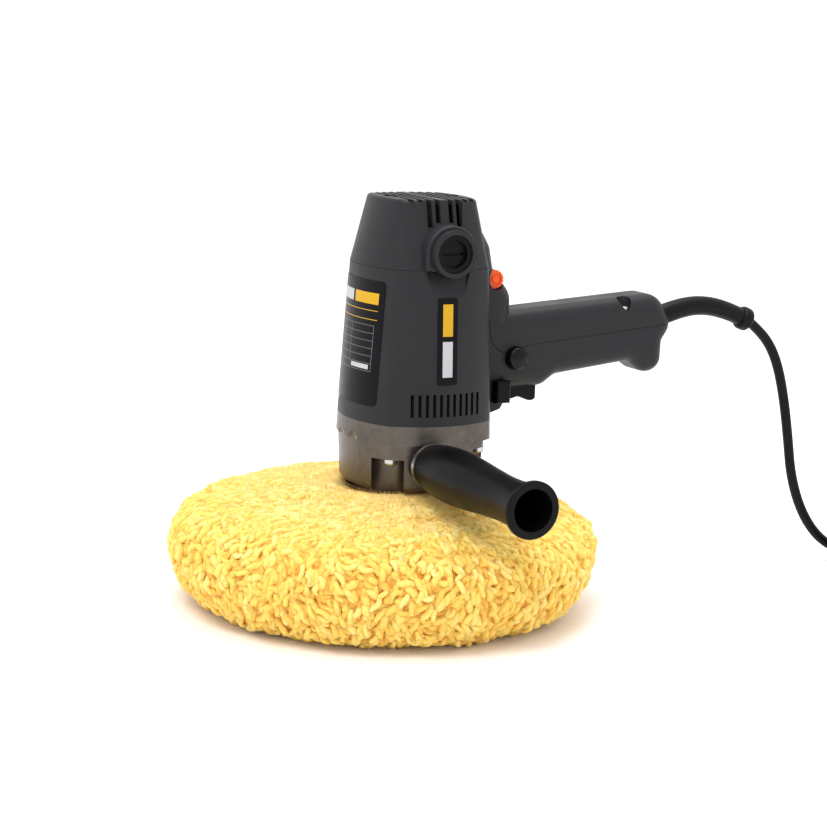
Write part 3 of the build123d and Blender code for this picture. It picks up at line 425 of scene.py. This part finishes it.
def pile_base():
    """The matted lower surface that the locks grow from, some way inside the outline."""
    rings, turns = 150, 600
    distance = np.repeat(np.linspace(0, pile_length, rings), turns)
    angle = np.tile(np.arange(turns) * 2 * math.pi / turns, rings)
    point, outward = frames_on(distance, angle)[:2]
    rise = 1.1 * lumps(point, 4.5, 3) + 0.6 * lumps(point, 2.2, 4)
    inset = np.interp(distance, [0, 60, 80, 140, 165, neck], [2.0, 2.0, 1.3, 1.2, 0.7, 0.3])
    point = point + outward * ((broad_lumps(point) + rise) * calm(distance) - inset)[:, None]
    under_housing(point)
    centre = np.array([[0, 0, 1.0]])
    point = np.vstack([point, centre])
    faces = []
    for ring in range(rings - 1):
        for turn in range(turns):
            after = (turn + 1) % turns
            low, high = ring * turns, (ring + 1) * turns
            faces.append((low + turn, low + after, high + after, high + turn))
    for turn in range(turns):
        faces.append((len(point) - 1, (turn + 1) % turns, turn))
    made = object_from("wool_base", (point * mm).tolist(), faces)
    # Painted light and shade: the top of the pile is painted paler, and the lumps lighter than the
    # hollows between them
    on_top = np.interp(distance, [135, 170], [0.0, 1.0])
    paint_light_and_shade(made, np.append(0.2 + 0.7 * on_top + rise * 0.14, 0.2))
    return made


def locks(name, distance, angle, length, thick, sway, rise, rings, sides):
    """Curling fingers of wool that lie along the pile, one at each place on it.

    Each sways to its sides by sway, and its middle stands out by up to rise.
    """
    count = len(distance)
    point = frames_on(distance, angle)[0]
    flow = comb(point) + rng.normal(0, lock_stray, count)
    lean = np.stack([np.cos(flow), np.sin(flow)], axis=-1)
    phase = rng.uniform(0, 2 * math.pi, count)
    waves = rng.uniform(0.5, 1.1, count)
    radius = np.maximum(on_pile(distance)[0], 20)
    lump = broad_lumps(point) * calm(distance)
    steps = np.linspace(0, 1, rings)
    centres, ups = [], []
    for t in steps:
        ahead = (t - 0.5) * length
        swing = sway * np.sin(phase + 2 * math.pi * waves * t)
        down = ahead * lean[:, 0] - swing * lean[:, 1]
        round_by = ahead * lean[:, 1] + swing * lean[:, 0]
        place, outward = frames_on(distance - down, angle + round_by / radius)[:2]
        arch = math.sin(math.pi * (0.12 + 0.8 * t)) ** 0.8
        height = lump + rise * arch - thick * (0.9 - 0.25 * t)
        centres.append(place + outward * height[:, None])
        ups.append(outward)
    centres = np.stack(centres, axis=1)
    ups = np.stack(ups, axis=1)
    along = unit(np.gradient(centres, axis=1))
    side = unit(np.cross(along, ups))
    above = unit(np.cross(side, along))
    swell = np.sqrt(np.clip(1 - ((steps - 0.45) / 0.58) ** 4, 0.06, 1))
    reach = thick[:, None] / 2 * swell * rng.uniform(0.86, 1.14, (count, rings))
    roll = np.arange(sides) * 2 * math.pi / sides
    first_twist = rng.uniform(0, 2 * math.pi, count)[:, None, None]
    twist = first_twist + steps[None, :, None] * rng.uniform(2, 5, (count, 1, 1))
    lobes = reach[:, :, None] * (1 + 0.09 * np.cos(2 * (roll[None, None, :] + twist)))
    points = (
        centres[:, :, None, :]
        + side[:, :, None, :] * (np.cos(roll)[None, None, :] * lobes)[..., None]
        + above[:, :, None, :] * (np.sin(roll)[None, None, :] * lobes)[..., None]
    )
    points = points.reshape(count, rings * sides, 3)
    tips = centres[:, -1, :] + along[:, -1, :] * reach[:, -1:] * 0.8
    points = np.concatenate([points, tips[:, None, :]], axis=1)
    under_housing(points)
    # Painted light and shade: each lock's upper side and raised middle are painted lighter than its
    # underside, and the locks on top paler
    over = np.sin(roll)[None, None, :] * lobes + (rise - thick * 0.8)[:, None, None]
    on_top = np.interp(distance, [125, 170], [0.0, 0.36])[:, None, None]
    painted_lights = np.clip(0.46 + on_top + over * 0.14, 0, 1.1).reshape(count, -1)
    painted_lights = np.concatenate([painted_lights, painted_lights[:, -1:]], axis=1) + rng.normal(0, 0.06, count)[:, None]
    each = rings * sides + 1
    one = []
    for ring in range(rings - 1):
        for turn in range(sides):
            after = (turn + 1) % sides
            low, high = ring * sides, (ring + 1) * sides
            one.append((low + turn, low + after, high + after, high + turn))
    last = (rings - 1) * sides
    ends = [(last + turn, last + (turn + 1) % sides, each - 1) for turn in range(sides)]
    faces = []
    for number in range(count):
        first = number * each
        faces.extend(tuple(first + v for v in face) for face in one)
        faces.extend(tuple(first + v for v in face) for face in ends)
    made = object_from(name, (points.reshape(-1, 3) * mm).tolist(), faces)
    paint_light_and_shade(made, painted_lights.reshape(-1))
    return made


def scattered(start, end, spacing):
    """Places over a band of the outline, about a spacing apart, with no rows showing."""
    distances, angles = [], []
    at = start
    while at < end:
        radius = float(on_pile(np.array([at]))[0][0])
        number = max(int(2 * math.pi * radius / spacing), 3)
        turn = rng.uniform(0, 2 * math.pi)
        spots = turn + (np.arange(number) + rng.uniform(-0.42, 0.42, number)) * 2 * math.pi / number
        angles.append(spots)
        distances.append(at + rng.uniform(-0.45, 0.45, number) * spacing)
        at += spacing * 0.92
    return np.concatenate(distances), np.concatenate(angles)


def fuzz(name, distance, angle, length, wide, spray):
    """Loose single fibres, each a narrow bent strip."""
    count = len(distance)
    point, outward, downhill, around = frames_on(distance, angle)
    flow = comb(point)
    combed = downhill * np.cos(flow)[:, None] + around * np.sin(flow)[:, None]
    direction = unit(outward * 0.55 + combed * 0.7 + rng.normal(0, spray, (count, 3)))
    lump = broad_lumps(point) * calm(distance)
    at = point + outward * (lump - rng.uniform(0.5, 1.6, count))[:, None]
    side = unit(np.cross(direction, rng.normal(0, 1, (count, 3))))
    bend = unit(rng.normal(0, 1, (count, 3)) - outward * 0.6)
    rows = []
    for ring in range(3):
        half = wide * (1 - ring / 2.5) / 2
        rows.append(at - side * half)
        rows.append(at + side * half)
        at = at + direction * (length / 2)[:, None]
        direction = unit(direction + bend * 0.5)
    points = np.stack(rows, axis=1)
    points[:, :, 2] = np.clip(points[:, :, 2], fibre_clear, fibre_highest)
    faces = []
    for number in range(count):
        first = number * 6
        faces.append((first, first + 1, first + 3, first + 2))
        faces.append((first + 2, first + 3, first + 5, first + 4))
    made = object_from(name, (points.reshape(-1, 3) * mm).tolist(), faces)
    # Painted light and shade: each fibre is painted lighter towards its tip, and paler on the top
    # of the pile
    on_top = np.interp(distance, [125, 170], [0.0, 0.2])
    paint_light_and_shade(made, (np.repeat([0.65, 0.75, 0.85], 2)[None, :] + on_top[:, None]).reshape(-1))
    return made


def wool_material():
    """Lamb's wool with painted shade and light: orange painted shade in the depths, straw yellow
    painted light at the tips, fine fibre over it.
    """
    made = bpy.data.materials.new("wool")
    made.use_nodes = True
    tree = made.node_tree
    shader = tree.nodes["Principled BSDF"]
    shader.inputs["Roughness"].default_value = 0.92
    shader.inputs["Specular IOR Level"].default_value = 0.2
    shader.inputs["Sheen Weight"].default_value = 0.12
    shader.inputs["Sheen Roughness"].default_value = 0.5
    shader.inputs["Sheen Tint"].default_value = linear(255, 226, 140)
    shader.inputs["Subsurface Weight"].default_value = 0.4
    shader.inputs["Subsurface Radius"].default_value = (1.0, 0.6, 0.25)
    shader.inputs["Subsurface Scale"].default_value = 0.004
    # Painted light and shade: the stored level runs from orange painted shade in the crevices to
    # pale painted light at the tips and on top
    painted_light = tree.nodes.new("ShaderNodeAttribute")
    painted_light.attribute_name = "painted_light"
    painted_shading_colour = ramp(tree, painted_light.outputs["Fac"], 0.05, 1.0, [
        linear(230, 126, 34), linear(240, 174, 62), linear(246, 203, 96), linear(252, 226, 152),
    ])
    patches = noise_node(tree, 45, 3.0, 0.6)
    warm = mixed(tree, spread_over(tree, patches, 0.0, 0.35), painted_shading_colour, linear(234, 174, 62))
    strands = noise_node(tree, 900, 3.0, 0.7)
    pale = mixed(tree, spread_over(tree, strands, 0.0, 0.3), warm, linear(250, 222, 144))
    tree.links.new(pale, shader.inputs["Base Color"])
    fine = relief(tree, strands, 0.0006, 0.5)
    finest = relief(tree, noise_node(tree, 2600, 2.0, 0.6), 0.0003, 0.4, fine)
    tree.links.new(finest, shader.inputs["Normal"])
    return made


wool = wool_material()
wool_base = pile_base()

# Plump curls on the side, which settle towards the top
spots, turns = scattered(side_from, side_to + 22, 3.7)
settle = np.interp(spots, [side_to - 25, side_to + 18], [1.0, 0.45])
wool_pieces = [wool_base]
for letter, chosen in zip("abc", np.array_split(rng.permutation(len(spots)), 3)):
    number = len(chosen)
    wool_pieces.append(locks(
        "wool_locks_" + letter, spots[chosen], turns[chosen],
        length=rng.uniform(5, 11, number),
        thick=rng.uniform(3.0, 5.2, number), sway=rng.uniform(0.3, 1.6, number),
        rise=rng.uniform(0.6, 4.0, number) * settle[chosen], rings=7, sides=6,
    ))
# Flat tufts on the top
spots, turns = scattered(side_to - 4, neck - 1, 4.0)
number = len(spots)
wool_pieces.append(locks(
    "wool_tufts", spots, turns,
    length=rng.uniform(4, 8, number), thick=rng.uniform(2.6, 4.8, number),
    sway=rng.uniform(0.3, 1.5, number), rise=rng.uniform(0.6, 1.5, number), rings=6, sides=5,
))
# Short fibres: each band has where it starts and ends, and the distance between fibres
fibre_bands = {
    "a": (60, 110, 1.0), "b": (110, side_to, 1.0), "c": (side_to, 185, 0.8),
    "d": (185, neck + 6, 0.8),
}
for letter, (low, high, gap) in fibre_bands.items():
    spots, turns = scattered(low, high, gap)
    long = rng.uniform(1.8, 3.8, len(spots))
    wool_pieces.append(fuzz("wool_fuzz_" + letter, spots, turns, long, 0.22, 0.5))

for piece in wool_pieces:
    piece.data.materials.append(wool)
    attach(piece, "spindle")
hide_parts("wool_bonnet")


# ---------------------------------------------------------------- supply cord, in mm
cord_r = 3.25
cord_route = [
    (257.8, 0, 160.7), (268.6, 0, 152.9), (277.8, -0.4, 142.0), (284.2, -1.0, 128.0),
    (289.5, -1.9, 108.0), (293.5, -3.4, 84.0), (297.0, -5.4, 56.0), (306.0, -8.4, 31.0),
    (320.0, -12.0, 13.0), (338.0, -15.4, 4.8), (354.0, -16.8, cord_r),
]
tail_route = [
    (398.2, -59.0, 9.75), (398.4, -76.0, 8.6), (395.0, -95.5, 5.2), (384.6, -111.5, 3.6),
    (368.6, -120.8, 5.0), (353.0, -123.4, 8.5),
]
coil_at = (354.0, -61.0)
coil_seats = [  # radius and height of each turn, in the order it is wound
    (44.25, 3.25), (37.75, 3.25), (31.25, 3.25), (31.25, 9.75), (31.25, 16.25), (37.75, 16.25),
    (37.75, 9.75), (44.25, 16.25), (44.25, 9.75),
]
coil_turns = 9.25
points_a_turn = 16
moving_over = 0.3  # the part of a turn in which the cord moves to its next seat
inside_points = 0.985  # the smooth curve's radius, as a share of its control points' radius

coil_points = []
for number in range(1, int(coil_turns * points_a_turn)):
    turn = number / points_a_turn
    seat = min(int(turn), len(coil_seats) - 1)
    following = min(seat + 1, len(coil_seats) - 1)
    share = max(0.0, (turn - seat - 1 + moving_over) / moving_over) if turn - seat < 1 else 0.0
    share = share * share * (3 - 2 * share)
    seats = zip(coil_seats[seat], coil_seats[following])
    radius, height = (a + (b - a) * share for a, b in seats)
    angle = math.pi / 2 - 2 * math.pi * turn
    wide = radius / inside_points
    x, y = coil_at[0] + wide * math.cos(angle), coil_at[1] + wide * math.sin(angle)
    coil_points.append((x, y, height))

cord_curve = bpy.data.curves.new("supply_cord", "CURVE")
cord_curve.dimensions = "3D"
cord_curve.bevel_depth = cord_r * mm
cord_curve.bevel_resolution = 4
cord_curve.resolution_u = 6
cord_curve.use_fill_caps = True
spline = cord_curve.splines.new("NURBS")
cord_points = cord_route + coil_points + tail_route
spline.points.add(len(cord_points) - 1)
for control, place in zip(spline.points, cord_points):
    control.co = (*[v * mm for v in place], 1)
spline.order_u = 3
spline.use_endpoint_u = True
supply_cord = bpy.data.objects.new("supply_cord", cord_curve)
scene.collection.objects.link(supply_cord)
supply_cord.data.materials.append(finishes["cord_sheath"])
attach(supply_cord, "housing")
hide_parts("power_cord", "cord_coil", "cord_tail")


# ---------------------------------------------------------------- finishes on the CAD nodes
for row in frame["record"]["subparts"]:
    if row["material_slot"] in finishes:
        node = nodes[row["node"]]
        node.data.materials.clear()
        node.data.materials.append(finishes[row["material_slot"]])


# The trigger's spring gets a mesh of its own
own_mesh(nodes["trigger_spring"])


# ---------------------------------------------------------------- floor, light
far = 6.0
floor_low = -0.0002  # just below the cord and the wool that rest on it
floor_corners = [(-far, -far, 0), (far, -far, 0), (far, far, 0), (-far, far, 0)]
floor = object_from("floor", floor_corners, [(0, 1, 2, 3)], smooth=False)
floor.location.z = floor_low
floor_finish = finish_of("floor", linear(246, 246, 246), 0.9, spread=0.01, strength=0.02)
floor.data.materials.append(floor_finish)

world = bpy.data.worlds.new("studio")
world.use_nodes = True
world.node_tree.nodes["Background"].inputs["Color"].default_value = (1, 1, 1, 1)
world.node_tree.nodes["Background"].inputs["Strength"].default_value = 1.12
scene.world = world
scene.view_settings.view_transform = "Standard"


def soft_light(name, place, aim, width, height, power):
    """A rectangular soft box that faces a point."""
    data = bpy.data.lights.new(name, "AREA")
    data.shape = "RECTANGLE"
    data.size, data.size_y = width, height
    data.energy = power
    lamp = bpy.data.objects.new(name, data)
    scene.collection.objects.link(lamp)
    lamp.location = place
    lamp.rotation_euler = (Vector(aim) - Vector(place)).to_track_quat("-Z", "Y").to_euler()


soft_light("key", (-0.7, -0.5, 1.5), (0.05, 0, 0.1), 0.9, 0.7, 14)
soft_light("top", (0.3, 0.3, 1.6), (0.05, 0, 0.1), 1.0, 0.8, 12)
